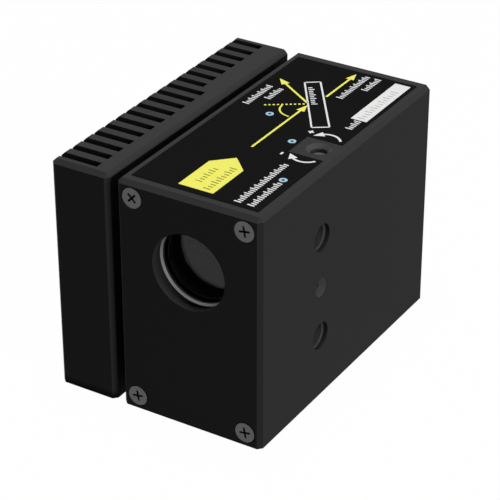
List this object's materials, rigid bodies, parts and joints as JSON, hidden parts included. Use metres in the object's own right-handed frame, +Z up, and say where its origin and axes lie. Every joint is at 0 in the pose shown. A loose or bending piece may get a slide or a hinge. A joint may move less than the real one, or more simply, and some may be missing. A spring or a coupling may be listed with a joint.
{
  "type": "laser power attenuator",
  "caption": "Block-shaped laser beam attenuator with a windowed aperture, a finned heat sink on one side and a geared tilting polariser tuned through a hole in the roof.",
  "frame": {"origin": "middle of the bottom of the bounding box, between the front and rear faces", "axes": "+Y along the beam from the entrance to the exit aperture, +Z up, +X from the heat sink to the mounting side"},
  "size_m": [0.053, 0.076, 0.0571],
  "materials": {
    "black_anodised": "fine bead-blasted black anodising",
    "steel_screws": "bright stainless steel",
    "bright_rings": "turned, clear",
    "black_seals": "matt",
    "coated_glass": "polished and coated against reflection",
    "white_ceramic": "sintered, matt",
    "dark_ceramic": "sintered, matt",
    "ground_steel": "ground",
    "spindle_steel": "oxidised brown",
    "bearing_bronze": "sintered bronze",
    "gear_brass": "machined",
    "printed_label": "matt black film with printed shapes"
  },
  "bodies": {
    "root": {"housing": "black_anodised", "front_plate": "black_anodised", "front_plate_screws": "steel_screws", "entrance_ring": "bright_rings", "entrance_seal": "black_seals", "entrance_window": "coated_glass", "rear_plate": "black_anodised", "rear_plate_screws": "steel_screws", "exit_ring": "bright_rings", "exit_seal": "black_seals", "exit_window": "coated_glass", "heat_sink": "black_anodised", "sink_screws": "steel_screws", "sink_spacers": "white_ceramic", "dump_collar": "black_anodised", "dump_absorber": "dark_ceramic", "lower_pivot_pin": "ground_steel", "upper_pivot_pin": "ground_steel", "thrust_washer": "bearing_bronze", "adjuster_bush": "bearing_bronze", "adjuster_washer": "bearing_bronze", "top_label": "printed_label"},
    "polariser": {"polariser_cradle": "black_anodised", "polariser_plate": "coated_glass", "plate_clamp": "black_anodised", "clamp_screws": "steel_screws", "tooth_sector": "gear_brass", "sector_screws": "steel_screws", "lower_pivot_bush": "bearing_bronze", "upper_pivot_bush": "bearing_bronze"},
    "adjuster": {"adjuster_spindle": "spindle_steel", "adjuster_pinion": "gear_brass"}
  },
  "joints": [
    {"name": "polariser_tilt", "type": "hinge", "parent": "root", "child": "polariser", "pos_m": [0.0085, 0.01454, 0.0391], "axis": [0, 0, 1], "range_deg": [-4, 4]},
    {"name": "adjuster_turn", "type": "hinge", "parent": "root", "child": "adjuster", "pos_m": [0.0205, -0.0039, 0.0542], "axis": [0, 0, 1], "range_deg": [-31.2, 31.2]}
  ],
  "couplings": [
    {"joint": "adjuster_turn", "follows": "polariser_tilt", "ratio": -7.8}
  ]
}
